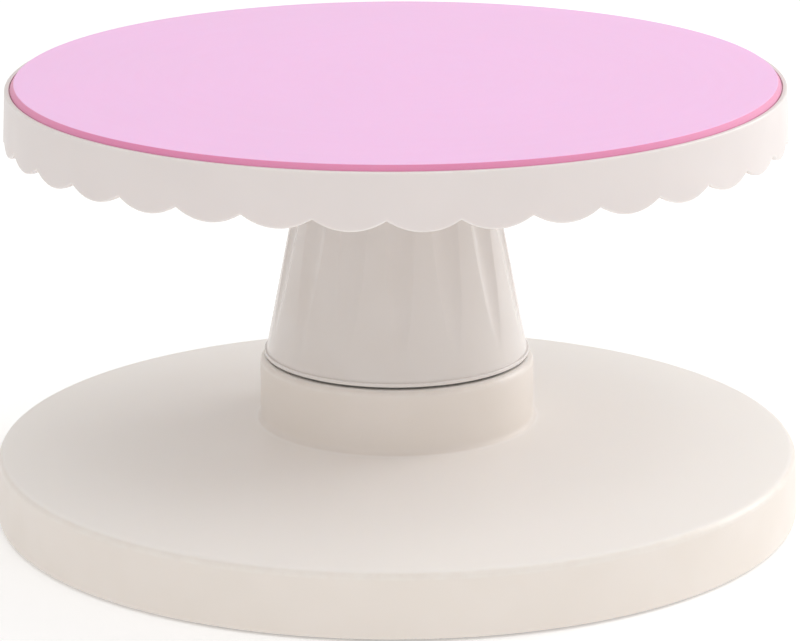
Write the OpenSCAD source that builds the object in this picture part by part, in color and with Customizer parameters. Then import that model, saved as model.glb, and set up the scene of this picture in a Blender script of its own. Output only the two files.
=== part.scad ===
// Cake turntable: a matted plate with a scalloped skirt on a fluted column,
// which turns as one on a spindle and a thrust ball race in a wide, ribbed base.
// Millimetres, +Z up, origin on the floor under the middle of the base.

/* [Base] */
// Diameter of the base at its lower rim
base_d = 292; // [250:1:360]
// Height of the outer edge above the lower rim, before rounding
base_edge_h = 22.9; // [18:0.1:28]
// Height of the crown above the lower rim, where it meets the collar
base_crown_h = 33; // [30:0.1:40]
// How far the side leans in over its height
base_lean = 0.6; // [0.2:0.1:2]
// Radius of the outer top edge
base_edge_r = 3; // [1:0.1:5]
// Wall of the base shell
base_wall = 2.8; // [2:0.1:4]
// Number of radial ribs under the crown
base_rib_count = 12; // [6:1:24]
// Thickness of every moulded rib
rib_t = 2; // [1.4:0.1:3]
// Space between the ribs' lower edges and the lower rim
rib_lift = 7; // [4:0.5:12]

/* [Feet] */
// Number of rubber feet
foot_count = 6; // [4:1:12]
// Diameter of a foot
foot_d = 16; // [10:0.5:20]
// Distance from the lower rim in to the feet's centres
foot_inset = 14; // [13:0.5:24]
// How far the feet stand below the lower rim
foot_proud = 1; // [0.5:0.1:3]
// Depth of a foot's pocket
foot_pocket = 2; // [1:0.1:4]

/* [Collar] */
// Diameter of the collar at its foot
collar_d = 99.4; // [82:0.1:125]
// Height of the collar's top above the lower rim
collar_h = 56.6; // [46:0.1:72]
// Wall of the collar
collar_wall = 3.4; // [2.5:0.1:4.5]
// Radius of the collar's shoulder
collar_edge_r = 2.6; // [1:0.1:3]
// Radius of the fillet round the collar's foot
collar_fillet_r = 2.4; // [1:0.1:4]
// Thickness of the deck inside the collar
collar_deck_t = 3.4; // [2.5:0.1:5]
// Length of the spindle's hub below the deck
hub_len = 28; // [20:0.5:34]

/* [Column] */
// Open seam between the collar and the column
seam = 1; // [0.6:0.1:2]
// Height of the column
column_h = 93.9; // [75:0.1:130]
// Step from the collar's side in to the column's foot lip
foot_step = 1.6; // [0.5:0.1:3]
// How far the foot lip stands out from the column's side
lip_out = 1.2; // [0.5:0.1:3]
// Height of the foot lip
lip_h = 1.4; // [0.8:0.1:4]
// Diameter of the column at its top
column_top_d = 58.8; // [56:0.1:76]
// Wall of the column, before the flutes are hollowed into it
column_wall = 3.4; // [2.8:0.1:4.5]
// Thickness of the column's top deck
column_deck_t = 3; // [2:0.1:5]
// Number of flutes round the column
flute_count = 14; // [8:1:18]
// Depth of a flute where it is deepest
flute_depth = 1.6; // [0.6:0.1:1.8]
// Radius of a flute's hollow
flute_r = 12; // [8:0.5:20]
// Height above the column's foot where a flute runs out
flute_foot = 10.5; // [6:0.5:20]
// Height above the column's foot where a flute is deepest
flute_peak = 66; // [50:1:76]
// Angle of the first flute
flute_phase = -88.2; // [-180:0.1:180]

/* [Plate] */
// Diameter of the plate at the tips of its scallops
plate_d = 280.4; // [235:0.1:340]
// Height of the skirt from the rim to the tips of the scallops
skirt_h = 19.8; // [14:0.1:28]
// Wall of the skirt
skirt_wall = 2.4; // [1.8:0.1:3.5]
// How far the skirt flares out over its height
skirt_flare = 1; // [0.2:0.1:3]
// Radius of the plate's top edge
plate_edge_r = 1.4; // [0.5:0.1:1.5]
// Number of scallops
scallop_count = 36; // [30:1:48]
// Depth of a scallop, from its tips to the cusps between them
scallop_depth = 3.8; // [2:0.1:5]
// Angle of the first cusp
scallop_phase = -91.3; // [-180:0.1:180]
// Thickness of the plate's deck
plate_deck_t = 3; // [2:0.1:5]
// Thickness of the pad over the column
plate_pad_t = 5; // [4.5:0.1:8]
// Depth of the socket ring that grips the column's top
socket_depth = 8; // [5:0.5:12]
// Wall of the socket ring
socket_wall = 4; // [2.5:0.1:6]
// Number of radial ribs under the plate
plate_rib_count = 12; // [6:1:24]
// Depth of the plate's ribs at the socket
plate_rib_h = 9; // [5:0.5:14]
// Depth of the plate's ribs at the skirt
plate_rib_end_h = 4; // [2:0.5:8]
// Distance from one ring rib to the next
ring_pitch = 34; // [20:1:60]

/* [Mat] */
// Width of the plate's bare rim, outside the recess for the mat
rim_w = 1.7; // [1.6:0.1:8]
// Thickness of the mat
mat_t = 3; // [2:0.1:5]
// How deep the mat sits in the plate
mat_recess = 1.1; // [0.5:0.1:1.8]
// Radius of the mat's top edge
mat_edge_r = 1.2; // [0.3:0.1:1.8]
// Gap round the mat
mat_gap = 0.4; // [0.2:0.1:1]

/* [Spindle] */
// Diameter of the steel spindle
spindle_d = 16; // [12:0.1:20]
// Thickness of the spindle's flange
flange_t = 4; // [3:0.1:6]
// Running clearance between spindle and bushes, on the radius
bush_clear = 0.05; // [0.02:0.01:0.1]
// Wall of a bush
bush_wall = 2.5; // [1.5:0.1:3]
// How far a bush's flange stands out from its body
bush_flange_w = 2; // [1:0.1:3]
// Thickness of a bush's flange
bush_flange_t = 1.5; // [1:0.1:2.5]
// Length of a bush's body
bush_len = 10; // [6:0.5:14]
// Space over the upper bush for the washers, the circlip and the spindle's end
head_room = 18.5; // [16:0.5:24]

/* [Bearing] */
// Diameter of a ball
ball_d = 5; // [4:0.1:6.2]
// Number of balls
ball_count = 18; // [12:1:22]
// Thickness of a race
race_t = 3; // [2.5:0.1:4]
// Gap between a ball and its groove
ball_clear = 0.3; // [0.2:0.05:0.4]
// Thickness of the ball cage
cage_t = 1.6; // [1:0.1:2]

/* [Screws] */
// Diameter of the screws that hold the spindle and the foot plate
small_screw_d = 4; // [3:0.5:5]
// Diameter of the screws that hold the plate
plate_screw_d = 5; // [4:0.5:6]
// Screws in each ring
screw_count = 4; // [3:1:6]
// Distance from the axis to the plate's screws
plate_screw_r = 20; // [19.5:0.1:22]

/* [Hidden] */
$fn = 96;

// Space between pieces of one body that slide together
fit_gap = 0.15;
// Overlap that joins or cuts cleanly
bite = 1;
// Steps in a quarter of a rounded edge
arc_steps = 8;

// Base and collar
rim_z = foot_proud;
base_r = base_d / 2;
collar_r = collar_d / 2;
collar_top_z = rim_z + collar_h;
collar_in_r = collar_r - collar_wall;
base_top_r = base_r - base_lean;
crown_run = base_top_r - collar_r;
crown_slope = (base_crown_h - base_edge_h) / crown_run;
crown_angle = atan(crown_slope);

// Column
foot_z = collar_top_z + seam;
top_z = foot_z + column_h;
lip_r = collar_r - foot_step;
column_foot_r = lip_r - lip_out;
column_top_r = column_top_d / 2;
column_slope = (column_foot_r - column_top_r) / column_h;
column_angle = atan(column_slope);
wall_run = column_wall / cos(column_angle);
// How far the tools that hollow the flutes run on past the column's ends
flute_run_on = 6;
// The flute's floor is an arc that leaves the column's side at flute_foot
flute_reach = (flute_peak - flute_foot) / cos(column_angle);
flute_floor_r = flute_reach * flute_reach / (2 * flute_depth) + flute_depth / 2;
flute_sweep = 2 * asin((column_h + flute_peak + flute_run_on) / flute_floor_r / 2);

// Screws, bushes and spindle
spindle_r = spindle_d / 2;
bush_r = spindle_r + bush_clear + bush_wall;
bush_flange_r = bush_r + bush_flange_w;
shank_r = small_screw_d / 2;
// A pan head's radius and height, as shares of the screw's diameter
head_r = 0.92 * small_screw_d;
head_h = 0.62 * small_screw_d;
screw_gap = 0.05;
hole_gap = 0.3;
head_space = 0.8;
small_screw_r = bush_flange_r + head_space + head_r;
boss_wall = 2.6;
boss_r = shank_r + boss_wall;
thread_len = 12;

// Bearing, from the foot plate down to the collar's deck
groove_r = ball_d / 2;
ball_r = groove_r - ball_clear;
race_gap = ball_d / 2;
// How far the foot plate's seat lies above the column's foot
seat_step = 0.9;
foot_seat_z = foot_z + seat_step;
ball_z = foot_seat_z - race_t - race_gap / 2;
deck_z = ball_z - race_gap / 2 - race_t;
labyrinth_gap = 2.5;
labyrinth_t = 2.2;
labyrinth_out_r = collar_in_r - labyrinth_gap;
labyrinth_in_r = labyrinth_out_r - labyrinth_t;
race_rim_t = 1.9;
rim_gap = 1.2;
race_out_r = labyrinth_in_r - rim_gap - race_rim_t - fit_gap;
race_in_r = small_screw_r + head_r + head_space;
pitch_r = (race_in_r + race_out_r) / 2;
cage_margin = 1.4;

// Foot plate
foot_plate_t = 4;
foot_plate_top_z = foot_seat_z + foot_plate_t;
foot_plate_hub_wall = 3;
foot_plate_hub_r = bush_r + foot_plate_hub_wall;
foot_plate_hub_top_z = foot_seat_z + bush_len;
labyrinth_z = deck_z + labyrinth_gap;
ledge_w = 2;

// Lower edges of the base's radial ribs and of its ring ribs, which reach deeper
ring_extra = 1;
rib_z = rim_z + rib_lift;
ring_z = rib_z - ring_extra;

// Spindle hub, down inside the collar
hub_wall = 5;
hub_r = spindle_r + hub_wall;
hub_z = deck_z - hub_len;
flange_z = hub_z - flange_t;
flange_r = small_screw_r + head_r + 1;

// Column hub and the stack over the upper bush
tube_wall = 2;
tube_in_r = bush_r - bite;
tube_r = foot_plate_hub_r + tube_wall;
tube_top_z = top_z - column_deck_t - head_room;
bush_top_z = tube_top_z + bush_flange_t;
spring_h = 1.8;
spring_t = 0.8;
washer_t = 1.5;
washer_r = bush_flange_r;
spring_z = bush_top_z + fit_gap;
washer_z = spring_z + spring_h + fit_gap;
clip_t = 1.2;
clip_gap = 0.1;
clip_z = washer_z + washer_t + clip_gap;
groove_depth = 0.8;
clip_w = 3;
spindle_end = 3;
spindle_top_z = clip_z + clip_t + spindle_end;
access_gap = 1.2;
access_r = washer_r + access_gap;

// Plate
rim_top_z = top_z + plate_pad_t + mat_recess;
recess_z = top_z + plate_pad_t;
plate_under_z = recess_z - plate_deck_t;
tip_z = rim_top_z - skirt_h;
plate_r = plate_d / 2;
plate_top_r = plate_r - skirt_flare;
recess_r = plate_top_r - rim_w;
mat_r = recess_r - mat_gap;
socket_r = column_top_r + socket_wall + column_slope * socket_depth;
half_pitch = 180 / scallop_count;
half_chord = plate_r * sin(half_pitch);
scallop_r = (half_chord * half_chord + scallop_depth * scallop_depth) / (2 * scallop_depth);
insert_len = 8;
insert_wall = 1;
insert_r = plate_screw_d / 2 + insert_wall;
insert_boss_wall = 1.6;
insert_boss_r = insert_r + insert_boss_wall;
// A countersunk head's radius, as a share of the screw's diameter
csk_r = 0.94 * plate_screw_d;
csk_h = csk_r - plate_screw_d / 2;
plate_screw_end = 4;
plate_screw_len = plate_pad_t + insert_len + plate_screw_end;

// Points of an arc round a centre, from one angle to another
function arc(centre, r, from, to) = [
    for (i = [0 : arc_steps])
    let (a = from + (to - from) * i / arc_steps)
    [centre[0] + r * cos(a), centre[1] + r * sin(a)]
];

// Height of the crown's top and underside at a radius
function crown_z(r) = rim_z + base_edge_h + (base_top_r - r) * crown_slope;
function crown_under_z(r) = crown_z(r) - base_wall / cos(crown_angle);

// Radius of the column's side at a height
function column_r(z) = column_foot_r - (z - foot_z) * column_slope;

// Copies of a piece at even angles
module ring_of(count, phase = 0) {
    for (i = [0 : count - 1])
        rotate([0, 0, phase + 360 * i / count])
            children();
}

// Flat fin that stands upright on a radius
module fin(from_r, to_r, from_z, to_z, t = rib_t) {
    translate([from_r, -t / 2, from_z])
        cube([to_r - from_r, t, to_z - from_z]);
}

// Round bar on the axis or at a radius
module post(r, from_z, to_z, at_r = 0) {
    translate([at_r, 0, from_z])
        cylinder(r = r, h = to_z - from_z);
}

// ---- Base -------------------------------------------------------------

// Section of the base shell, its collar and the deck inside the collar
module base_section() {
    edge_turn = 90 - crown_angle;
    edge_in = base_edge_r * tan(edge_turn / 2);
    edge_c = [base_top_r - base_edge_r, crown_z(base_top_r) - edge_in];
    fillet_run = collar_fillet_r * tan(edge_turn / 2);
    fillet_c = [collar_r + collar_fillet_r, crown_z(collar_r) + fillet_run];
    shoulder_c = [collar_r - collar_edge_r, collar_top_z - collar_edge_r];
    ring_r = collar_in_r + rib_t;
    inner_r = base_r - base_wall;
    inner_top_r = base_top_r - base_wall;
    polygon(concat(
        [[base_r, rim_z]],
        arc(edge_c, base_edge_r, 0, edge_turn),
        arc(fillet_c, collar_fillet_r, 270 - crown_angle, 180),
        arc(shoulder_c, collar_edge_r, 0, 90),
        [
            [collar_in_r, collar_top_z],
            [collar_in_r, deck_z],
            [race_out_r + fit_gap + race_rim_t, deck_z],
            [race_out_r + fit_gap + race_rim_t, deck_z + race_t / 2],
            [race_out_r + fit_gap, deck_z + race_t / 2],
            [race_out_r + fit_gap, deck_z],
            [0, deck_z],
            [0, deck_z - collar_deck_t],
            [collar_in_r, deck_z - collar_deck_t],
            [collar_in_r, ring_z],
            [ring_r, ring_z],
            [ring_r, crown_under_z(ring_r)],
            [inner_top_r, crown_under_z(inner_top_r)],
            [inner_r, rim_z]
        ]
    ));
}

// Solid that the ribs and posts are trimmed to, half way into the crown
module crown_core() {
    edge = base_top_r - base_wall / 2;
    rotate_extrude()
        polygon([
            [collar_in_r + rib_t / 2, 0],
            [edge, 0],
            [edge, crown_z(edge) - base_wall / 2],
            [collar_in_r + rib_t / 2, crown_z(collar_in_r) - base_wall / 2]
        ]);
}

module base() {
    foot_r = base_r - foot_inset;
    ring_mid_r = (collar_r + base_r) / 2;
    color("#ece3d8")
    difference() {
        union() {
            rotate_extrude()
                base_section();
            intersection() {
                crown_core();
                union() {
                    ring_of(base_rib_count)
                        fin(collar_in_r, base_r, rib_z, collar_top_z);
                    ring_of(foot_count, 180 / base_rib_count)
                        post(foot_d / 2 + rib_t, rim_z, collar_top_z, foot_r);
                    difference() {
                        post(ring_mid_r + rib_t / 2, ring_z, collar_top_z);
                        post(ring_mid_r - rib_t / 2, 0, collar_top_z + bite);
                    }
                }
            }
            post(hub_r, hub_z, deck_z - collar_deck_t / 2);
            ring_of(screw_count)
                post(boss_r, hub_z, deck_z - collar_deck_t / 2, small_screw_r);
            ring_of(2 * screw_count)
                fin(hub_r - bite, collar_in_r + bite, hub_z + rib_lift, deck_z - bite);
        }
        post(spindle_r + bush_clear, 0, collar_top_z);
        ring_of(screw_count)
            post(shank_r + screw_gap, hub_z - bite, hub_z + thread_len + bite, small_screw_r);
        ring_of(foot_count, 180 / base_rib_count)
            post(foot_d / 2 + fit_gap, 0, rim_z + foot_pocket, foot_r);
    }
}

module feet() {
    bevel = 0.5;
    color("#4a4744")
    ring_of(foot_count, 180 / base_rib_count)
        translate([base_r - foot_inset, 0, 0])
            rotate_extrude()
                polygon([
                    [0, 0],
                    [foot_d / 2 - bevel, 0],
                    [foot_d / 2, bevel],
                    [foot_d / 2, rim_z + foot_pocket],
                    [0, rim_z + foot_pocket]
                ]);
}

// ---- Spindle and what is fixed to it ----------------------------------

// Pan-head screw whose head bears on the plane z = 0 from below
module pan_screw(length) {
    recess_w = 0.25 * head_r;
    recess_r = 0.55 * head_r;
    difference() {
        union() {
            rotate_extrude()
                polygon([
                    [0, -head_h],
                    [0.7 * head_r, -head_h],
                    [0.93 * head_r, -0.75 * head_h],
                    [head_r, -0.4 * head_h],
                    [head_r, 0],
                    [0, 0]
                ]);
            post(shank_r, -bite, length);
        }
        for (a = [0, 90])
            rotate([0, 0, a])
                translate([-recess_r, -recess_w, -head_h - bite])
                    cube([2 * recess_r, 2 * recess_w, bite + 0.6 * head_h]);
    }
}

module spindle() {
    tip_bevel = 1;
    color("#b9bcc0")
    difference() {
        rotate_extrude()
            polygon([
                [0, flange_z],
                [flange_r, flange_z],
                [flange_r, hub_z],
                [spindle_r, hub_z],
                [spindle_r, clip_z],
                [spindle_r - groove_depth, clip_z],
                [spindle_r - groove_depth, clip_z + clip_t + screw_gap],
                [spindle_r, clip_z + clip_t + screw_gap],
                [spindle_r, spindle_top_z - tip_bevel],
                [spindle_r - tip_bevel, spindle_top_z],
                [0, spindle_top_z]
            ]);
        ring_of(screw_count)
            post(shank_r + hole_gap, flange_z - bite, hub_z + bite, small_screw_r);
    }
}

module spindle_screws() {
    color("#a9abad")
    ring_of(screw_count)
        translate([small_screw_r, 0, flange_z])
            pan_screw(flange_t + thread_len);
}

// Cone-shaped spring washer that takes up the end play
module spring_washer() {
    in_r = spindle_r + hole_gap;
    color("#8e9196")
    rotate_extrude()
        polygon([
            [in_r, spring_z + spring_h - spring_t],
            [washer_r - fit_gap, spring_z],
            [washer_r - fit_gap, spring_z + spring_t],
            [in_r, spring_z + spring_h]
        ]);
}

module retaining_washer() {
    color("#b9bcc0")
    difference() {
        post(washer_r, washer_z, washer_z + washer_t);
        post(spindle_r + screw_gap, washer_z - bite, washer_z + washer_t + bite);
    }
}

// Open retaining ring in the spindle's groove, with an eye at each end
module circlip() {
    in_r = spindle_r - groove_depth + screw_gap;
    eye_r = 1.7;
    eye_hole_r = 0.8;
    eye_at_r = in_r + clip_w / 2 + 0.2;
    mouth_angle = 14;
    mouth_l = 2 * spindle_r;
    color("#5c5f63")
    translate([0, 0, clip_z + screw_gap / 2])
        linear_extrude(clip_t)
            difference() {
                union() {
                    circle(r = in_r + clip_w);
                    for (side = [-1, 1])
                        rotate(side * (mouth_angle + 8))
                            translate([eye_at_r, 0])
                                circle(r = eye_r);
                }
                circle(r = in_r);
                polygon([
                    [0, 0],
                    [mouth_l, -mouth_l * tan(mouth_angle)],
                    [mouth_l, mouth_l * tan(mouth_angle)]
                ]);
                for (side = [-1, 1])
                    rotate(side * (mouth_angle + 8))
                        translate([eye_at_r, 0])
                            circle(r = eye_hole_r);
            }
}

// ---- Thrust bearing ----------------------------------------------------

// Flat ring with a ball groove, between two heights
module race(from_z) {
    rotate_extrude()
        difference() {
            translate([race_in_r, from_z])
                square([race_out_r - race_in_r, race_t]);
            translate([pitch_r, ball_z])
                circle(r = groove_r);
        }
}

module lower_race() {
    color("#c2c5c8")
    race(deck_z);
}

module upper_race() {
    color("#c2c5c8")
    race(foot_seat_z - race_t);
}

module ball_cage() {
    color("#c9a45c")
    difference() {
        post(race_out_r - cage_margin, ball_z - cage_t / 2, ball_z + cage_t / 2);
        post(race_in_r + cage_margin, ball_z - cage_t, ball_z + cage_t);
        ring_of(ball_count)
            post(ball_r + fit_gap, ball_z - cage_t, ball_z + cage_t, pitch_r);
    }
}

module balls() {
    color("#d5d8da")
    ring_of(ball_count)
        translate([pitch_r, 0, ball_z])
            sphere(r = ball_r);
}

// ---- Column and its bearings -------------------------------------------

// Disc that closes the column's foot, holds the upper race and the lower bush
module foot_plate() {
    color("#d9d6d2")
    difference() {
        rotate_extrude()
            polygon([
                [bush_r, foot_seat_z],
                [race_out_r + fit_gap, foot_seat_z],
                [race_out_r + fit_gap, foot_seat_z - 0.7 * race_t],
                [race_out_r + fit_gap + race_rim_t, foot_seat_z - 0.7 * race_t],
                [race_out_r + fit_gap + race_rim_t, foot_seat_z],
                [labyrinth_in_r, foot_seat_z],
                [labyrinth_in_r, labyrinth_z],
                [labyrinth_out_r, labyrinth_z],
                [labyrinth_out_r, foot_plate_top_z],
                [foot_plate_hub_r, foot_plate_top_z],
                [foot_plate_hub_r, foot_plate_hub_top_z],
                [bush_r, foot_plate_hub_top_z]
            ]);
        ring_of(screw_count)
            post(shank_r + hole_gap, labyrinth_z, foot_plate_top_z + bite, small_screw_r);
    }
}

module foot_plate_screws() {
    color("#a9abad")
    ring_of(screw_count)
        translate([small_screw_r, 0, foot_seat_z])
            pan_screw(foot_plate_t + thread_len);
}

// Flanged plain bush with its flange below z = 0 and its body above
module bush() {
    rotate_extrude()
        polygon([
            [spindle_r + bush_clear, -bush_flange_t],
            [bush_flange_r, -bush_flange_t],
            [bush_flange_r, 0],
            [bush_r, 0],
            [bush_r, bush_len],
            [spindle_r + bush_clear, bush_len]
        ]);
}

module lower_bush() {
    color("#e9e4d4")
    translate([0, 0, foot_seat_z])
        bush();
}

module upper_bush() {
    color("#e9e4d4")
    translate([0, 0, tube_top_z])
        mirror([0, 0, 1])
            bush();
}

// Tools that hollow the flutes, each a ring whose arc dips into the column's side
module flutes(r) {
    ring_of(flute_count, flute_phase)
        translate([column_r(foot_z + flute_peak), 0, foot_z + flute_peak])
            rotate([0, -column_angle, 0])
                translate([flute_floor_r - flute_depth, 0, 0])
                    rotate([90, 0, 0])
                        rotate_extrude(angle = flute_sweep, start = 180 - flute_sweep / 2, $fn = 256)
                            translate([flute_floor_r - flute_r, 0])
                                circle(r = r, $fn = 96);
}

// Hollow inside the column's wall, with a ledge for the foot plate
module column_hollow() {
    foot_r = labyrinth_out_r + fit_gap;
    ledge_r = foot_r - ledge_w;
    ledge_top_z = foot_plate_top_z + ledge_w;
    roof_z = top_z - column_deck_t;
    rotate_extrude()
        polygon([
            [0, foot_z - bite],
            [foot_r, foot_z - bite],
            [foot_r, foot_plate_top_z],
            [ledge_r, foot_plate_top_z],
            [ledge_r, ledge_top_z],
            [column_r(ledge_top_z + ledge_w) - wall_run, ledge_top_z + ledge_w],
            [column_r(roof_z) - wall_run, roof_z],
            [0, roof_z]
        ]);
}

// Hub tube, ribs and screw bosses, trimmed to stay inside the fluted wall
module column_core() {
    sink = (flute_depth + column_wall) / 2;
    rib_phase = flute_phase + 180 / flute_count;
    intersection() {
        rotate_extrude()
            polygon([
                [0, foot_plate_top_z],
                [column_r(foot_plate_top_z) - sink, foot_plate_top_z],
                [column_r(top_z) - sink, top_z - bite],
                [0, top_z - bite]
            ]);
        union() {
            post(tube_r, foot_z, tube_top_z);
            ring_of(screw_count)
                post(boss_r, foot_z, foot_z + 2 * thread_len, small_screw_r);
            ring_of(screw_count, 45)
                post(insert_boss_r, tube_top_z, top_z, plate_screw_r);
            ring_of(flute_count / 2, rib_phase)
                fin(tube_in_r + bite, collar_r, foot_plate_top_z + ledge_w / 2, top_z);
        }
    }
}

module column() {
    lip_bevel = 0.5;
    color("#e4dfda")
    difference() {
        union() {
            difference() {
                rotate_extrude()
                    polygon([
                        [0, foot_z],
                        [lip_r - lip_bevel / 2, foot_z],
                        [lip_r, foot_z + lip_bevel / 2],
                        [lip_r, foot_z + lip_h - lip_bevel],
                        [lip_r - lip_bevel, foot_z + lip_h],
                        [column_r(foot_z + lip_h + lip_bevel), foot_z + lip_h + lip_bevel],
                        [column_top_r, top_z],
                        [0, top_z]
                    ]);
                flutes(flute_r);
                column_hollow();
            }
            column_core();
        }
        post(tube_in_r, foot_z, top_z);
        post(foot_plate_hub_r + fit_gap, foot_z, foot_plate_hub_top_z + fit_gap);
        post(bush_r, tube_top_z - bush_len, tube_top_z + bite);
        post(access_r, tube_top_z, top_z + bite);
        ring_of(screw_count)
            post(shank_r + screw_gap, foot_z, foot_plate_top_z + thread_len + bite, small_screw_r);
        ring_of(screw_count, 45)
            post(insert_r, top_z - insert_len - screw_gap, top_z + bite, plate_screw_r);
        ring_of(screw_count, 45)
            post(plate_screw_d / 2 + hole_gap, recess_z - plate_screw_len - bite, top_z, plate_screw_r);
    }
}

// Brass inserts in the column's top
module plate_inserts() {
    color("#c8a557")
    ring_of(screw_count, 45)
        difference() {
            post(insert_r, top_z - insert_len, top_z - screw_gap, plate_screw_r);
            post(plate_screw_d / 2 + screw_gap, top_z - insert_len - bite, top_z + bite, plate_screw_r);
        }
}

// ---- Plate and mat -----------------------------------------------------

// Section of the plate: rim, skirt, deck, pad and the socket for the column
module plate_section() {
    edge_c = [plate_top_r - plate_edge_r, rim_top_z - plate_edge_r];
    skirt_foot_z = tip_z - bite;
    socket_z = top_z - socket_depth;
    polygon(concat(
        [
            [0, recess_z],
            [0, top_z],
            [column_r(top_z) + fit_gap, top_z],
            [column_r(socket_z) + fit_gap, socket_z],
            [socket_r, socket_z],
            [socket_r, plate_under_z],
            [plate_top_r - skirt_wall, plate_under_z],
            [plate_r - skirt_wall, skirt_foot_z],
            [plate_r, skirt_foot_z]
        ],
        arc(edge_c, plate_edge_r, 0, 90),
        [
            [recess_r, rim_top_z],
            [recess_r, recess_z]
        ]
    ));
}

// What is cut from the skirt's foot: a band without the round lobes of the scallops
module scallop_cut() {
    lobe_from = plate_r - skirt_flare - skirt_wall - 2 * bite;
    lobe_len = skirt_wall + skirt_flare + 5 * bite;
    difference() {
        difference() {
            post(plate_r + bite, tip_z - 2 * bite, tip_z + scallop_depth + bite);
            post(plate_r - skirt_flare - skirt_wall, tip_z - 3 * bite, tip_z + scallop_depth + 2 * bite);
        }
        ring_of(scallop_count, scallop_phase + half_pitch)
            translate([lobe_from, 0, tip_z + scallop_r])
                rotate([0, 90, 0])
                    cylinder(r = scallop_r, h = lobe_len);
    }
}

// Upright rib under the deck, deeper at the socket than at the skirt
module plate_rib() {
    in_r = socket_r - bite;
    out_r = plate_top_r - skirt_wall / 2;
    rotate([90, 0, 0])
        linear_extrude(rib_t, center = true)
            polygon([
                [in_r, plate_under_z + plate_deck_t / 2],
                [in_r, plate_under_z - plate_rib_h],
                [out_r, plate_under_z - plate_rib_end_h],
                [out_r, plate_under_z + plate_deck_t / 2]
            ]);
}

module plate() {
    // The last ring rib keeps clear of the skirt by this share of the pitch
    skirt_clear = 0.4;
    ring_count = floor((plate_top_r - skirt_wall - socket_r) / ring_pitch - skirt_clear);
    color("#efebe9")
    difference() {
        union() {
            rotate_extrude()
                plate_section();
            ring_of(plate_rib_count)
                plate_rib();
            for (i = [1 : ring_count])
                rotate_extrude()
                    translate([socket_r + i * ring_pitch, plate_under_z - plate_rib_end_h])
                        square([rib_t, plate_rib_end_h + plate_deck_t / 2]);
        }
        scallop_cut();
        ring_of(screw_count, 45)
            post(plate_screw_d / 2 + hole_gap, top_z - bite, recess_z + bite, plate_screw_r);
        ring_of(screw_count, 45)
            translate([plate_screw_r, 0, recess_z - csk_h])
                cylinder(r1 = plate_screw_d / 2 + hole_gap, r2 = csk_r + hole_gap, h = csk_h + 0.001);
    }
}

module plate_screws() {
    sink = 0.1;
    drive_r = 0.3 * plate_screw_d;
    color("#a9abad")
    ring_of(screw_count, 45)
        translate([plate_screw_r, 0, recess_z - sink])
            difference() {
                rotate_extrude()
                    polygon([
                        [0, 0],
                        [csk_r, 0],
                        [plate_screw_d / 2, -csk_h],
                        [plate_screw_d / 2, -plate_screw_len],
                        [0, -plate_screw_len]
                    ]);
                translate([0, 0, -0.8 * csk_h])
                    cylinder(r = drive_r, h = csk_h + bite, $fn = 6);
            }
}

module mat() {
    edge_c = [mat_r - mat_edge_r, recess_z + mat_t - mat_edge_r];
    color("#f3bde2")
    rotate_extrude()
        polygon(concat(
            [[0, recess_z], [mat_r, recess_z]],
            arc(edge_c, mat_edge_r, 0, 90),
            [[0, recess_z + mat_t]]
        ));
}

base();
feet();
spindle();
spindle_screws();
lower_race();
spring_washer();
retaining_washer();
circlip();
ball_cage();
balls();
upper_race();
foot_plate();
foot_plate_screws();
lower_bush();
upper_bush();
column();
plate_inserts();
plate();
plate_screws();
mat();
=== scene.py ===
# %% [markdown]
# # A cake turntable
# A plate with a scalloped skirt turns on a fluted column, and the column turns
# on a spindle that stands in a wide ribbed base. A silicone mat lies in the
# plate. The engineering model gives every size and every moving body, so this
# script loads it first and then dresses it: finer meshes for the parts that
# are seen, and a worked-out finish for every part.

# %% Load the frame
import math

import bmesh
import bpy
import numpy as np
from mathutils import Matrix, Vector


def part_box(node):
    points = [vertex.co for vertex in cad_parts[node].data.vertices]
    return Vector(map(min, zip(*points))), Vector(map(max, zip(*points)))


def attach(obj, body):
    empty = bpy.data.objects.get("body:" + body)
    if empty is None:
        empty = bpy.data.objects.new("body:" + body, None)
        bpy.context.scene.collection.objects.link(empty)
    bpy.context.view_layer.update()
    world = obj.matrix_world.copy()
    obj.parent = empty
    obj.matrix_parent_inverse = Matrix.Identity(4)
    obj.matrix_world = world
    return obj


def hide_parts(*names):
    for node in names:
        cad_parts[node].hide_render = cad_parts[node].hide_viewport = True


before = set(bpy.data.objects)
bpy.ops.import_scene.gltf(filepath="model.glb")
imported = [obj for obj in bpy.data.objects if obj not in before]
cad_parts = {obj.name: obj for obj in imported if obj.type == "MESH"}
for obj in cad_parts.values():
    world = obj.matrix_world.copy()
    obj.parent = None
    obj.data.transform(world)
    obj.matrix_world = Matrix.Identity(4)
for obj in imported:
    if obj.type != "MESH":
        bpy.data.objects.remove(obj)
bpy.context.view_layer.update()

MM = 0.001
print("nodes:", len(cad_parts))

# %% [markdown]
# ## Sizes that come from the frame
# A new piece has to stay in the space of the part that it stands for. So its
# main radius and heights are read from that part's box, and only the small
# features, such as walls and edge radii, are values of their own.

# %% Read the main sizes
def reach(node):
    """The radius that a round node keeps inside its own box."""
    low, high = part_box(node)
    return min(high.x, high.y, -low.x, -low.y)


rim_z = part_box("base")[0].z
collar_top_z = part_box("base")[1].z
base_r = reach("base")
foot_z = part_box("column")[0].z
top_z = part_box("column")[1].z
lip_r = reach("column")
tip_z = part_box("plate")[0].z
rim_top_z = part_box("plate")[1].z
plate_r = reach("plate")
recess_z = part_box("mat")[0].z
mat_top_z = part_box("mat")[1].z
mat_r = reach("mat")
print(f"base radius {base_r / MM:.1f} mm, plate radius {plate_r / MM:.1f} mm")

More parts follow.
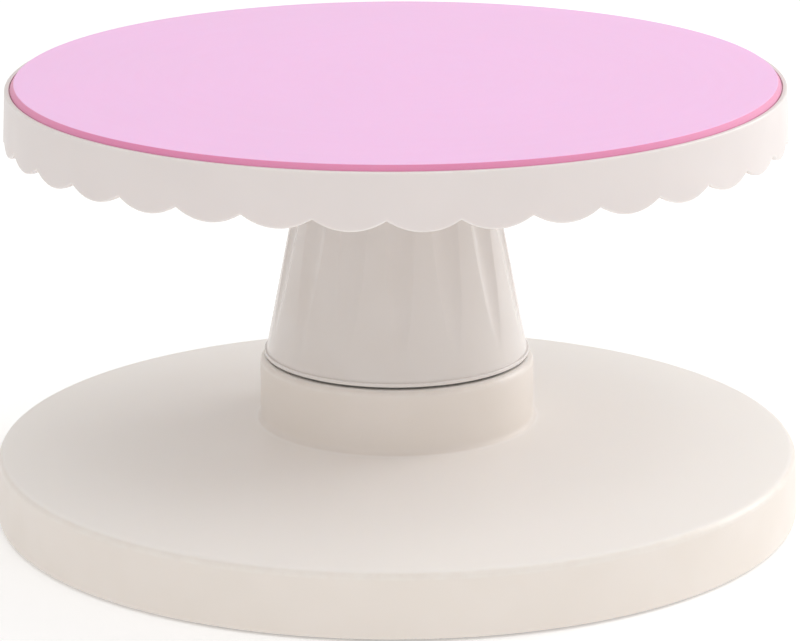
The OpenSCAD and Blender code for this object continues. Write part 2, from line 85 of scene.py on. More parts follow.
# %% [markdown]
# ## Turning an outline
# Base, column, plate and mat are round, so each is an outline swept round the
# axis. A Screw modifier could do it, but the skirt's scallops and the column's
# flutes change the outline on the way round. Building the grid of points lets
# every column of the grid have an outline of its own. Moulded edges
# are never sharp, so a helper rounds the corners of an outline with arcs.

# %% Helpers for outlines and turned meshes
ARC_STEPS = 6
GUARD = 0.8 * MM


def rounded(corners, steps=ARC_STEPS):
    """An outline of (r, z) points from corners (r, z, radius), with arcs in them.

    A guard point on each side of an arc keeps the flat beside it flat."""
    outline = []
    for i, (r, z, radius) in enumerate(corners):
        here = Vector((r, z))
        if radius == 0:
            outline.append(tuple(here))
            continue
        to_last = Vector(corners[i - 1][:2]) - here
        to_next = Vector(corners[(i + 1) % len(corners)][:2]) - here
        half = to_last.angle(to_next) / 2
        reach_along = radius / math.tan(half)
        guards = [min(GUARD, way.length / 2 - reach_along) for way in (to_last, to_next)]
        to_last.normalize()
        to_next.normalize()
        centre = here + (to_last + to_next).normalized() * radius / math.sin(half)
        start = here + to_last * reach_along - centre
        end = here + to_next * reach_along - centre
        turn = math.pi - 2 * half
        if guards[0] > GUARD / 8:
            outline.append(tuple(centre + start + to_last * guards[0]))
        for step in range(steps + 1):
            share = step / steps
            near = start * math.sin((1 - share) * turn)
            far = end * math.sin(share * turn)
            outline.append(tuple(centre + (near + far) / math.sin(turn)))
        if guards[1] > GUARD / 8:
            outline.append(tuple(centre + end + to_next * guards[1]))
    return outline


def even_angles(count):
    return np.arange(count) * math.tau / count


def turned_points(outline, angles):
    """Grid of points, columns by rows by three, from outlines and angles."""
    outline = np.asarray(outline, float)
    angles = np.asarray(angles, float)
    if outline.ndim == 2:
        outline = np.repeat(outline[None], len(angles), axis=0)
    if angles.ndim == 1:
        angles = np.repeat(angles[:, None], outline.shape[1], axis=1)
    r, z = outline[..., 0], outline[..., 1]
    return np.stack([r * np.cos(angles), r * np.sin(angles), z], axis=-1)


def mesh_from_grid(name, points):
    """A closed mesh from a grid of points that goes once round the axis."""
    columns, rows = points.shape[:2]
    starts_on_axis = np.allclose(points[0, 0, :2], 0)
    bands = rows - 1 if starts_on_axis else rows
    faces = []
    for c in range(columns):
        here, there = c * rows, (c + 1) % columns * rows
        for row in range(bands):
            above = (row + 1) % rows
            faces.append((here + row, here + above, there + above, there + row))
    mesh = bpy.data.meshes.new(name)
    mesh.from_pydata(points.reshape(-1, 3).tolist(), [], faces)
    return mesh


def settle(mesh, sharp_angle=35):
    """Welds double points, turns the faces outwards and smooths the shading."""
    shape = bmesh.new()
    shape.from_mesh(mesh)
    bmesh.ops.remove_doubles(shape, verts=shape.verts, dist=1e-7)
    bmesh.ops.dissolve_degenerate(shape, edges=shape.edges, dist=1e-8)
    bmesh.ops.recalc_face_normals(shape, faces=shape.faces)
    open_edges = sum(not edge.is_manifold for edge in shape.edges)
    shape.to_mesh(mesh)
    shape.free()
    mesh.polygons.foreach_set("use_smooth", [True] * len(mesh.polygons))
    mesh.set_sharp_from_angle(angle=math.radians(sharp_angle))
    return open_edges


def turned(name, outline, angles=360):
    """An object made by turning an outline once round the axis."""
    angles = even_angles(angles) if isinstance(angles, int) else angles
    mesh = mesh_from_grid(name, turned_points(outline, angles))
    open_edges = settle(mesh)
    made = bpy.data.objects.new(name, mesh)
    bpy.context.scene.collection.objects.link(made)
    print(f"{name}: {len(mesh.vertices)} points, {open_edges} open edges")
    return made


# %% [markdown]
# ## Ribs, posts and cuts
# Mouldings are stiffened by ribs and screw posts. Each is a small mesh of its
# own, copied round the axis, and a Boolean modifier welds the set to the shell,
# so the finished piece is one skin, as it is when it comes out of the tool.

# %% Helpers that add to a shell or cut it
def copies(made, count, phase=0.0):
    """Joins count turned copies of a mesh into that object, evenly round the axis."""
    shape = bmesh.new()
    for i in range(count):
        part = made.data.copy()
        part.transform(Matrix.Rotation(phase + math.tau * i / count, 4, "Z"))
        shape.from_mesh(part)
        bpy.data.meshes.remove(part)
    shape.to_mesh(made.data)
    shape.free()
    return made


def moved(made, r):
    """Shifts a mesh out to a radius."""
    made.data.transform(Matrix.Translation((r, 0, 0)))
    return made


def fin(name, outline, thickness, edge=0.3 * MM):
    """An upright rib: an (r, z) outline made thick, with its edges rounded."""
    shape = bmesh.new()
    rings = []
    for side in (-thickness / 2, thickness / 2):
        rings.append([shape.verts.new((r, side, z)) for r, z in outline])
    shape.faces.new(rings[0])
    shape.faces.new(list(reversed(rings[1])))
    for i in range(len(outline)):
        j = (i + 1) % len(outline)
        shape.faces.new((rings[0][j], rings[0][i], rings[1][i], rings[1][j]))
    bmesh.ops.recalc_face_normals(shape, faces=shape.faces)
    bmesh.ops.bevel(shape, geom=shape.edges, offset=edge, segments=2, affect="EDGES")
    mesh = bpy.data.meshes.new(name)
    shape.to_mesh(mesh)
    shape.free()
    made = bpy.data.objects.new(name, mesh)
    bpy.context.scene.collection.objects.link(made)
    return made


def weld(shell, part, operation="UNION"):
    """Joins part to shell, or cuts it out, and removes part."""
    step = shell.modifiers.new(operation, "BOOLEAN")
    step.operation = operation
    step.solver = "EXACT"
    step.object = part
    looked_at = bpy.context.evaluated_depsgraph_get()
    mesh = bpy.data.meshes.new_from_object(shell.evaluated_get(looked_at))
    shell.modifiers.clear()
    shell.data = mesh
    bpy.data.objects.remove(part)
    open_edges = settle(mesh)
    print(f"{shell.name} {operation.lower()}: {len(mesh.vertices)} points, {open_edges} open edges")
    return shell


# %% [markdown]
# ## The base
# The base is one moulding in satin cream plastic: a low cone with a rounded
# outer edge, and a straight collar in the middle that hides the bearing. Under
# the crown there are twelve ribs, two ring ribs and a post over each foot. The
# shell and the hub for the spindle are one closed outline, turned once.

# %% Sizes of the base
base_edge_h = 22.9 * MM
base_crown_h = 33 * MM
base_lean = 0.6 * MM
base_wall = 2.8 * MM
collar_r = 49.7 * MM
collar_in_r = collar_r - 3.4 * MM
deck_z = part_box("lower_race")[0].z
deck_t = 3.4 * MM
hub_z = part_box("spindle")[0].z + 4 * MM
hub_r = 13 * MM
bore_r = 8.05 * MM
rib_t = 2 * MM
rib_z = rim_z + 7 * MM
ring_z = rib_z - 1 * MM
base_top_r = base_r - base_lean
crown_slope = (base_crown_h - base_edge_h) / (base_top_r - collar_r)
crown_wall = base_wall * 1.006  # the wall measured straight down through the slope
base_rib_count = 12
foot_count = 6
foot_phase = math.radians(15)
foot_gap = 0.15 * MM
screw_count = 4


def crown_z(r):
    """Height of the crown's outside at a radius."""
    return rim_z + base_edge_h + (base_top_r - r) * crown_slope


def crown_under_z(r):
    """Height of the crown's inside at a radius."""
    return crown_z(r) - crown_wall


# %% Turn the base's shell
soft_edge = 0.4 * MM
ring_r = collar_in_r + rib_t
base_corners = [
    (base_r, rim_z, soft_edge),
    (base_top_r, crown_z(base_top_r), 3 * MM),
    (collar_r, crown_z(collar_r), 2.4 * MM),
    (collar_r, collar_top_z, 2.6 * MM),
    (collar_in_r, collar_top_z, soft_edge),
    (collar_in_r, deck_z, soft_edge),
    (bore_r, deck_z, soft_edge),
    (bore_r, hub_z, soft_edge),
    (hub_r, hub_z, soft_edge),
    (hub_r, deck_z - deck_t, 1.2 * MM),
    (collar_in_r, deck_z - deck_t, soft_edge),
    (collar_in_r, ring_z, soft_edge),
    (ring_r, ring_z, soft_edge),
    (ring_r, crown_under_z(ring_r), soft_edge),
    (base_top_r - base_wall, crown_under_z(base_top_r - base_wall), soft_edge),
    (base_r - base_wall, rim_z, soft_edge),
]
base = turned("base_moulding", rounded(base_corners), 384)

# %% [markdown]
# The ribs run under the crown from the collar to the rim. Their top edges sink
# half way into the wall, so that the Boolean finds a clean crossing there.

# %% Weld the ribs, posts and bosses to the base
sink = base_wall / 2
rib_out_r = base_top_r - sink
rib_outline = [
    (collar_in_r + sink / 2, rib_z),
    (rib_out_r, rib_z),
    (rib_out_r, crown_z(rib_out_r) - sink),
    (collar_in_r + sink / 2, crown_z(collar_in_r) - sink),
]
ribs = copies(fin("ribs", rib_outline, rib_t), base_rib_count)
weld(base, ribs)

ring_mid_r = (collar_r + base_r) / 2
ring_top_z = crown_z(ring_mid_r) - sink
ring_corners = [
    (ring_mid_r + rib_t / 2, ring_z, soft_edge),
    (ring_mid_r + rib_t / 2, ring_top_z, 0),
    (ring_mid_r - rib_t / 2, ring_top_z, 0),
    (ring_mid_r - rib_t / 2, ring_z, soft_edge),
]
weld(base, turned("ring_rib", rounded(ring_corners, 3), 384))

foot_at_r = base_r - 14 * MM
foot_top_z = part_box("feet")[1].z
foot_r = 8 * MM
post_r = foot_r + rib_t
post_top_z = crown_z(foot_at_r + post_r) - sink
post_corners = [
    (0, foot_top_z, 0),
    (foot_r + foot_gap, foot_top_z, 0),
    (foot_r + foot_gap, rim_z, soft_edge),
    (post_r, rim_z, soft_edge),
    (post_r, post_top_z, 0),
    (0, post_top_z, 0),
]
posts = moved(turned("posts", rounded(post_corners, 3), 48), foot_at_r)
weld(base, copies(posts, foot_count, foot_phase))

screw_r = 17.03 * MM
boss_r = 4.6 * MM
screw_hole_r = 2.05 * MM
screw_hole_top_z = hub_z + 13 * MM
boss_corners = [
    (0, screw_hole_top_z, 0),
    (screw_hole_r, screw_hole_top_z, 0),
    (screw_hole_r, hub_z, soft_edge / 2),
    (boss_r, hub_z, soft_edge),
    (boss_r, deck_z - deck_t / 2, 0),
    (0, deck_z - deck_t / 2, 0),
]
bosses = moved(turned("bosses", rounded(boss_corners, 3), 40), screw_r)
weld(base, copies(bosses, screw_count))

hub_fin_z = hub_z + 7 * MM
weld_depth = 1 * MM
hub_fin_outline = [
    (boss_r + screw_r - weld_depth, hub_fin_z),
    (collar_in_r + weld_depth, hub_fin_z),
    (collar_in_r + weld_depth, deck_z - weld_depth),
    (boss_r + screw_r - weld_depth, deck_z - weld_depth),
]
hub_fins = copies(fin("hub_fins", hub_fin_outline, rib_t), screw_count)
weld(base, hub_fins)
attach(base, "stand")
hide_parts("base")

# %% [markdown]
# ## The column
# The column is a slim cone with fourteen shallow flutes that start a little
# above its foot and deepen upwards. A flute is the mark that a round cutter
# leaves when it dips into the cone, so its outline at each height is a circle
# of fixed radius. The grid's columns follow the flute's two edges on the way
# up, which gives the edges crisp, even highlights with few points.

# %% Sizes of the column
flute_count = 14
flute_depth = 1.6 * MM
flute_r = 12 * MM
flute_foot = 10.5 * MM
flute_peak = 66 * MM
flute_phase = math.radians(-88.2)
arris_soft = 0.18 * MM
lip_h = 1.4 * MM
column_foot_r = lip_r - 0.5 * MM
column_top_r = 29.4 * MM
column_wall = 3.46 * MM
column_slope = (column_foot_r - column_top_r) / (top_z - foot_z)
flute_run = math.hypot(1, column_slope)
flute_floor_r = ((flute_peak - flute_foot) * flute_run) ** 2 / (2 * flute_depth)


def column_r(z):
    """Radius of the column's side at a height, before the flutes."""
    return column_foot_r - (z - foot_z) * column_slope


def flute_reach(z):
    """Radius of a flute's floor, and half the angle that it spans, at a height."""
    along = (z - foot_z - flute_peak) * flute_run
    depth = flute_depth - along * along / (2 * flute_floor_r)
    side, cutter = column_r(z), column_r(z) - depth + flute_r
    cosine = (cutter**2 + side**2 - flute_r**2) / (2 * cutter * side)
    least = 0.03
    span = math.acos(min(cosine, 1)) if depth > 0 else 0
    return cutter, max(span, least)


def fluted_r(z, angle):
    """Radius of the column's side at a height and at an angle from a flute's middle."""
    side, (cutter, _) = column_r(z), flute_reach(z)
    inside = flute_r**2 - (cutter * math.sin(angle)) ** 2
    if inside <= 0:
        return side
    dip = cutter * math.cos(angle) - math.sqrt(inside)
    return (side + dip - math.hypot(side - dip, arris_soft)) / 2


# %% Turn the column's shell
seat_r = reach("foot_plate") + 0.15 * MM
foot_plate_top_z = foot_z + 4.9 * MM
ledge_r = seat_r - 2 * MM
ledge_top_z = foot_plate_top_z + 2 * MM
roof_z = top_z - 3 * MM
tube_top_z = roof_z - 18.5 * MM
access_r = 13.75 * MM
lip_top_z = foot_z + lip_h
column_corners = [
    (seat_r, foot_z, soft_edge / 2),
    (lip_r, foot_z, soft_edge / 2),
    (lip_r, lip_top_z, soft_edge),
    (column_r(lip_top_z), lip_top_z, soft_edge),
    (column_top_r, top_z, soft_edge),
    (access_r, top_z, soft_edge),
    (access_r, roof_z, soft_edge),
    (column_r(roof_z) - column_wall, roof_z, soft_edge),
    (column_r(ledge_top_z + 2 * MM) - column_wall, ledge_top_z + 2 * MM, soft_edge),
    (ledge_r, ledge_top_z, soft_edge),
    (ledge_r, foot_plate_top_z, soft_edge / 2),
    (seat_r, foot_plate_top_z, soft_edge / 2),
]
outline = rounded(column_corners, 3)
side_starts = 1 + max(i for i, (r, z) in enumerate(outline) if z < lip_top_z + 1.5 * MM and r > seat_r)
side_rows = 56
low_z, high_z = outline[side_starts - 1][1], outline[side_starts][1]
side_z = np.linspace(low_z, high_z, side_rows + 2)[1:-1]
in_flute = [0, 0.15, 0.3, 0.45, 0.6, 0.72, 0.82, 0.9, 0.95, 0.985, 1]
past_flute = [0.02, 0.06, 0.12, 0.25, 0.45, 0.7]
half_pitch = math.pi / flute_count


def column_angles(span):
    """Angles across one flute and the land beside it, from middle to middle."""
    half = [share * span for share in in_flute]
    half += [span + share * (half_pitch - span) for share in past_flute]
    return [-a for a in reversed(half[1:])] + half + [half_pitch]


rows = outline[:side_starts] + [(column_r(z), z) for z in side_z] + outline[side_starts:]
is_side = [side_starts <= i < side_starts + side_rows for i in range(len(rows))]
one_flute = np.array([column_angles(flute_reach(max(z, low_z))[1]) for r, z in rows]).T
one_outline = np.array([
    [(fluted_r(z, a) if side else r, z) for (r, z), side, a in zip(rows, is_side, across)]
    for across in one_flute
])
turns = flute_phase + np.arange(flute_count) * 2 * half_pitch
angles = np.concatenate([one_flute + turn for turn in turns])
column = turned("column_moulding", np.tile(one_outline, (flute_count, 1, 1)), angles)

# %% Weld the hub tube and the ribs into the column
tube_in_r, bush_r, bush_len = 9.55 * MM, 10.55 * MM, 10 * MM
tube_out_r = 15.55 * MM
tube_foot_r = 13.7 * MM
seat_z = foot_z + 0.9 * MM
tube_step_z = seat_z + 10.15 * MM
tube_corners = [
    (tube_out_r, foot_z + weld_depth, 0),
    (tube_out_r, tube_top_z, soft_edge),
    (bush_r, tube_top_z, soft_edge / 2),
    (bush_r, tube_top_z - bush_len, 0),
    (tube_in_r, tube_top_z - bush_len, 0),
    (tube_in_r, tube_step_z, 0),
    (tube_foot_r, tube_step_z, 0),
    (tube_foot_r, foot_z + weld_depth, 0),
]
weld(column, turned("hub_tube", rounded(tube_corners, 3), 96))
wall_sink = 2.5 * MM
fin_low_z, fin_high_z = foot_plate_top_z + weld_depth, top_z - weld_depth
column_fin_outline = [
    (tube_out_r - weld_depth, fin_low_z),
    (column_r(fin_low_z) - wall_sink, fin_low_z),
    (column_r(fin_high_z) - wall_sink, fin_high_z),
    (tube_out_r - weld_depth, fin_high_z),
]
column_fins = fin("column_fins", column_fin_outline, rib_t)
weld(column, copies(column_fins, flute_count // 2, flute_phase + half_pitch))
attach(column, "turning_top")
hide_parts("column")

# %% [markdown]
# ## The plate
# The plate's skirt ends in thirty-six round lobes that meet in cusps. A lobe is
# an arc of a circle, and where two arcs meet a real tool leaves a small radius,
# so the two heights are blended. The grid is finer near the cusps than in the
# middle of a lobe, where the edge hardly bends.

# %% Sizes of the plate
scallop_count = 36
scallop_depth = 3.8 * MM
scallop_phase = math.radians(-91.3)
cusp_soft = 0.35 * MM
skirt_wall = 2.4 * MM
plate_top_r = plate_r - 1 * MM
recess_r = mat_r + 0.4 * MM
plate_under_z = recess_z - 3 * MM
socket_z = top_z - 8 * MM
socket_r = column_top_r + 5.5 * MM
socket_gap = 0.15 * MM
lobe_half = math.pi / scallop_count
lobe_chord = plate_r * math.sin(lobe_half)
lobe_r = (lobe_chord**2 + scallop_depth**2) / (2 * scallop_depth)


def lobe_z(angle):
    """Height of a lobe's edge at an angle from the lobe's middle."""
    across = plate_r * math.sin(angle)
    return tip_z + lobe_r - math.sqrt(max(lobe_r**2 - across**2, 0))


def skirt_edge_z(angle):
    """Height of the skirt's edge, with the cusp between two lobes softened."""
    here, beside = lobe_z(angle), lobe_z(2 * lobe_half - abs(angle))
    return (here + beside - math.hypot(here - beside, cusp_soft)) / 2


def skirt_r(z):
    """Outer radius of the skirt at a height."""
    return plate_r - (z - tip_z) / (rim_top_z - tip_z) * (plate_r - plate_top_r)


def plate_outline(edge_z):
    """The plate's outline where the skirt ends at a height."""
    edge_r = skirt_r(edge_z)
    guard_z = edge_z + 2 * MM
    return rounded([
        (0, recess_z, 0),
        (recess_r, recess_z, 0.3 * MM),
        (recess_r, rim_top_z, 0.2 * MM),
        (plate_top_r, rim_top_z, 0.6 * MM),
        (skirt_r(guard_z), guard_z, 0),
        (edge_r, edge_z, 0.6 * MM),
        (edge_r - skirt_wall, edge_z, 0.5 * MM),
        (plate_top_r - skirt_wall, plate_under_z, 1 * MM),
        (socket_r, plate_under_z, 1 * MM),
        (socket_r, socket_z, 0.4 * MM),
        (column_r(socket_z) + socket_gap, socket_z, 0.4 * MM),
        (column_r(top_z) + socket_gap, top_z, 0.3 * MM),
        (0, top_z, 0),
    ], 5)


# %% Turn the plate's shell
steps_per_half = 13
shares = [1 - (1 - i / steps_per_half) ** 1.6 for i in range(steps_per_half + 1)]
lobe_angles = [-lobe_half * share for share in reversed(shares[1:-1])]
lobe_angles += [lobe_half * share for share in shares]
one_lobe = [plate_outline(skirt_edge_z(a)) for a in lobe_angles]
turns = scallop_phase + lobe_half + np.arange(scallop_count) * 2 * lobe_half
angles = np.concatenate([np.array(lobe_angles) + turn for turn in turns])
plate = turned("plate_moulding", np.tile(one_lobe, (scallop_count, 1, 1)), angles)

# %% Weld the ribs under the plate and cut the screw holes
plate_rib_count = 12
plate_rib_in_r, plate_rib_out_r = socket_r - weld_depth, plate_top_r - skirt_wall / 2
plate_rib_top_z = plate_under_z + 1.5 * MM
plate_rib_low_z = plate_under_z - 4 * MM
plate_rib_outline = [
    (plate_rib_in_r, plate_under_z - 9 * MM),
    (plate_rib_out_r, plate_rib_low_z),
    (plate_rib_out_r, plate_rib_top_z),
    (plate_rib_in_r, plate_rib_top_z),
]
weld(plate, copies(fin("plate_ribs", plate_rib_outline, rib_t), plate_rib_count))
for ring_in_r in (socket_r + 34 * MM, socket_r + 68 * MM):
    ring_corners = [
        (ring_in_r, plate_rib_low_z, soft_edge),
        (ring_in_r + rib_t, plate_rib_low_z, soft_edge),
        (ring_in_r + rib_t, plate_rib_top_z, 0),
        (ring_in_r, plate_rib_top_z, 0),
    ]
    weld(plate, turned("plate_ring", rounded(ring_corners, 3), 432))
plate_screw_r = 20 * MM
plate_screw_phase = math.radians(45)
plate_hole_r = 2.8 * MM
hole_corners = [
    (0, recess_z + weld_depth, 0),
    (5.9 * MM, recess_z + weld_depth, 0),
    (4.95 * MM, recess_z, 0),
    (plate_hole_r, recess_z - 2.2 * MM, 0),
    (plate_hole_r, top_z - weld_depth, 0),
    (0, top_z - weld_depth, 0),
]
holes = moved(turned("plate_holes", hole_corners, 32), plate_screw_r)
weld(plate, copies(holes, screw_count, plate_screw_phase), "DIFFERENCE")
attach(plate, "turning_top")
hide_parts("plate")

# %% [markdown]
# ## The mat and the feet
# The mat is a disc of silicone with a sloping edge. It's the softest thing
# here, so its face isn't quite flat: a few slow waves, a few hundredths of a
# millimetre high, are pushed into the grid and break up the highlight.

# %% Turn the mat
mat_bevel = 1.3 * MM
mat_corners = [
    (0, mat_top_z, 0),
    (mat_r / 3, mat_top_z, 0),
    (mat_r * 2 / 3, mat_top_z, 0),
    (mat_r - mat_bevel, mat_top_z, 0.5 * MM),
    (mat_r, rim_top_z, 0.3 * MM),
    (mat_r, recess_z, 0.2 * MM),
    (0, recess_z, 0),
]
mat = turned("silicone_mat", rounded(mat_corners), 432)
wave_h = 0.03 * MM
waves_per_metre = 40
for point in mat.data.vertices:
    if point.co.z > mat_top_z - 0.01 * MM:
        x, y = point.co.x * waves_per_metre, point.co.y * waves_per_metre
        point.co.z -= wave_h * (1 + math.sin(x + 1.3 * y) * math.cos(1.7 * y - 0.4 * x)) / 2
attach(mat, "turning_top")
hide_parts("mat")

# %% Turn the feet
foot_corners = [
    (0, 0.3 * MM, 0),
    (4.5 * MM, 0.3 * MM, 0.2 * MM),
    (5 * MM, 0, 0.2 * MM),
    (foot_r, 0, 0.6 * MM),
    (foot_r, foot_top_z, 0.2 * MM),
    (0, foot_top_z, 0),
]
feet = copies(moved(turned("rubber_feet", rounded(foot_corners, 4), 64), foot_at_r), foot_count, foot_phase)
settle(feet.data)
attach(feet, "stand")
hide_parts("feet")

# %% [markdown]
# ## Screws with real threads
# The frame draws its screws as plain bars. A thread is a turned outline whose
# waves climb by one pitch on each turn, so the same grid helper makes it: each
# column of the grid shifts the wave by its share of a turn.

# %% Make the three sets of screws
def screw_set(name, head, shank_r, thread, pitch, seat, up, at_r, phase, drive):
    """Four screws. Depths in head and thread go in from the seat; up is 1 or -1."""
    columns, per_pitch, thread_depth = 20, 6, 0.14
    steps = int((thread[1] - thread[0]) / pitch * per_pitch)
    outlines = []
    for c in range(columns):
        outline = list(head)
        for i in range(1, steps):
            depth = thread[0] + (thread[1] - thread[0]) * i / steps
            wave = abs((depth / pitch - up * c / columns) % 1 * 2 - 1)
            run_out = min(1, i / per_pitch, (steps - i) / per_pitch)
            outline.append((shank_r * (1 - thread_depth * wave * run_out), depth))
        outline += [(shank_r * 0.8, thread[1]), (0, thread[1])]
        outlines.append([(r, seat + up * depth) for r, depth in outline])
    screws = turned(name, outlines, even_angles(columns))
    drive_r, drive_from, drive_to = drive
    low, high = seat + up * drive_from, seat + up * drive_to
    recess = turned("drive", [(0, low), (drive_r, low), (drive_r, high), (0, high)], 6)
    weld(screws, recess, "DIFFERENCE")
    return copies(moved(screws, at_r), screw_count, phase)


pan_head = [
    (0, -2.48 * MM),
    (2.2 * MM, -2.48 * MM),
    (3.1 * MM, -2.1 * MM),
    (3.6 * MM, -1.2 * MM),
    (3.66 * MM, -0.3 * MM),
    (3.55 * MM, -0.01 * MM),
    (1.9 * MM, 0.02 * MM),
]
flush_head = [(0, 0.1 * MM), (4.5 * MM, 0.1 * MM), (4.6 * MM, 0.25 * MM), (2.45 * MM, 2.3 * MM)]
pan_drive = (1.5 * MM, -3 * MM, -1.1 * MM)
flush_drive = (1.5 * MM, -1 * MM, 1.8 * MM)
flange_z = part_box("spindle")[0].z
spindle_screws = screw_set(
    "threaded_spindle_screws", pan_head, 1.98 * MM, (1 * MM, 15.9 * MM), 0.7 * MM,
    flange_z, 1, screw_r, 0, pan_drive)
foot_plate_screws = screw_set(
    "threaded_foot_plate_screws", pan_head, 1.98 * MM, (1 * MM, 15.9 * MM), 0.7 * MM,
    seat_z, 1, screw_r, 0, pan_drive)
plate_screws = screw_set(
    "threaded_plate_screws", flush_head, 2.48 * MM, (3 * MM, 16.9 * MM), 0.8 * MM,
    recess_z, -1, plate_screw_r, plate_screw_phase, flush_drive)
for screws, node, body in (
    (spindle_screws, "spindle_screws", "stand"),
    (foot_plate_screws, "foot_plate_screws", "turning_top"),
    (plate_screws, "plate_screws", "turning_top"),
):
    settle(screws.data)
    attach(screws, body)
    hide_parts(node)

# %% [markdown]
# ## Edge and corner masks
# Handling polishes the edges of plastic, and dust stays in its corners. Both
# need to know where the mesh bends. Ambient occlusion could find the corners,
# but it's slow and noisy, so the bend at each point is measured once and stored
# on the mesh as two attributes, which any material can read.

# %% Store how far the mesh bends at each point
SLIGHT_BEND = math.radians(6)
FULL_BEND = math.radians(14)


def mark_bends(made):
    """Writes the attributes edge, for outward bends, and corner, for inward ones."""
    shape = bmesh.new()
    shape.from_mesh(made.data)
    edge_bend = np.zeros(len(shape.verts))
    corner_bend = np.zeros(len(shape.verts))
    for edge in shape.edges:
        bend = edge.calc_face_angle_signed(0.0)
        strength = (abs(bend) - SLIGHT_BEND) / (FULL_BEND - SLIGHT_BEND)
        mask = edge_bend if bend > 0 else corner_bend
        for vert in edge.verts:
            mask[vert.index] = max(mask[vert.index], strength)
    shape.free()
    for name, bend in (("edge", edge_bend), ("corner", corner_bend)):
        made.data.attributes.new(name, "FLOAT", "POINT").data.foreach_set("value", np.clip(bend, 0, 1))


new_pieces = [base, column, plate, mat, feet, spindle_screws, foot_plate_screws, plate_screws]
for made in new_pieces:
    mark_bends(made)
print("marked", len(new_pieces), "pieces")

# %% [markdown]
# ## Shared effects as node groups
# Several finishes share the same effects: the skin of moulded plastic, worn
# edges, dust and marks that run round the axis. Each effect is a node group
# with named inputs and outputs, so it's built once and tuned in each material.
# The groups work from object coordinates, so the effects stay on a piece when
# it turns.

# %% Helpers for shader trees
def new_group(name, inputs, outputs):
    """An empty shader group. Inputs are (name, value), outputs are names."""
    group = bpy.data.node_groups.new(name, "ShaderNodeTree")
    for label, value in inputs:
        socket = group.interface.new_socket(label, in_out="INPUT", socket_type="NodeSocketFloat")
        socket.default_value = value
    for label in outputs:
        group.interface.new_socket(label, in_out="OUTPUT", socket_type="NodeSocketFloat")
    return group, group.nodes.new("NodeGroupInput"), group.nodes.new("NodeGroupOutput")


def put(tree, kind, inputs=None, **settings):
    """Adds a node, sets it up, and fills its inputs with values or links."""
    made = tree.nodes.new(kind)
    for key, value in settings.items():
        setattr(made, key, value)
    for key, value in (inputs or {}).items():
        if isinstance(value, bpy.types.NodeSocket):
            tree.links.new(value, made.inputs[key])
        else:
            made.inputs[key].default_value = value
    return made


def maths(tree, operation, first, second=0.0, clamp=False):
    """The output of a Math node."""
    inputs = {0: first, 1: second}
    return put(tree, "ShaderNodeMath", inputs, operation=operation, use_clamp=clamp).outputs[0]


def spread(tree, value, low, high):
    """The value stretched so that low becomes 0 and high becomes 1, without overshoot."""
    inputs = {"Value": value, "From Min": low, "From Max": high}
    return put(tree, "ShaderNodeMapRange", inputs, interpolation_type="SMOOTHSTEP").outputs[0]


def noise(tree, vector, scale, detail=3.0, roughness=0.55):
    """The factor of a noise texture."""
    inputs = {"Vector": vector, "Scale": scale, "Detail": detail, "Roughness": roughness}
    return put(tree, "ShaderNodeTexNoise", inputs).outputs[0]


# %% [markdown]
# A moulded skin has two scales: a fine grain copied from the tool, and slow
# waves from the plastic's flow and shrinkage. The group gives both as a height,
# and the slow one also as a tone for gentle drifts of colour and gloss.

# %% Group: moulded skin
skin, skin_in, skin_out = new_group(
    "Moulded skin",
    [("Grain Scale", 1800.0), ("Wave Scale", 45.0), ("Wave Share", 0.5)],
    ["Height", "Tone", "Grain"])
place = put(skin, "ShaderNodeTexCoord").outputs["Object"]
grain = noise(skin, place, skin_in.outputs["Grain Scale"], 2.0, 0.6)
wave = noise(skin, place, skin_in.outputs["Wave Scale"], 2.0, 0.4)
wave_part = maths(skin, "MULTIPLY", wave, skin_in.outputs["Wave Share"])
grain_share = maths(skin, "SUBTRACT", 1.0, skin_in.outputs["Wave Share"])
grain_part = maths(skin, "MULTIPLY", grain, grain_share)
skin.links.new(maths(skin, "ADD", wave_part, grain_part), skin_out.inputs["Height"])
skin.links.new(spread(skin, wave, 0.3, 0.7), skin_out.inputs["Tone"])
skin.links.new(grain, skin_out.inputs["Grain"])
print("built", skin.name)

# %% [markdown]
# Edges wear where hands and cloths rub them, in patches and not in an even
# line, so the stored edge mask is broken up by noise at two scales.

# %% Group: worn edges
wear, wear_in, wear_out = new_group("Worn edges", [("Amount", 0.5), ("Patch Scale", 90.0)], ["Wear"])
place = put(wear, "ShaderNodeTexCoord").outputs["Object"]
edge_mask = put(wear, "ShaderNodeAttribute", attribute_name="edge").outputs["Fac"]
patches = spread(wear, noise(wear, place, wear_in.outputs["Patch Scale"], 5.0, 0.65), 0.35, 0.65)
worn = maths(wear, "MULTIPLY", edge_mask, maths(wear, "ADD", patches, 0.35))
worn = maths(wear, "MULTIPLY", worn, wear_in.outputs["Amount"], clamp=True)
wear.links.new(worn, wear_out.inputs["Wear"])
print("built", wear.name)

# %% [markdown]
# Dust lies on faces that look up and gathers in corners that a cloth misses.

# %% Group: settled dust
dust, dust_in, dust_out = new_group("Settled dust", [("Amount", 0.3), ("Patch Scale", 30.0)], ["Dust"])
place = put(dust, "ShaderNodeTexCoord").outputs["Object"]
facing = put(dust, "ShaderNodeNewGeometry").outputs["Normal"]
upward = put(dust, "ShaderNodeSeparateXYZ", {0: facing}).outputs["Z"]
lying = maths(dust, "MULTIPLY", spread(dust, upward, 0.6, 1.0), 0.4)
corner_mask = put(dust, "ShaderNodeAttribute", attribute_name="corner").outputs["Fac"]
patches = spread(dust, noise(dust, place, dust_in.outputs["Patch Scale"], 6.0, 0.7), 0.35, 0.75)
held = maths(dust, "ADD", lying, maths(dust, "MULTIPLY", corner_mask, 0.7))
dusty = maths(dust, "MULTIPLY", held, patches)
dusty = maths(dust, "MULTIPLY", dusty, dust_in.outputs["Amount"], clamp=True)
dust.links.new(dusty, dust_out.inputs["Dust"])
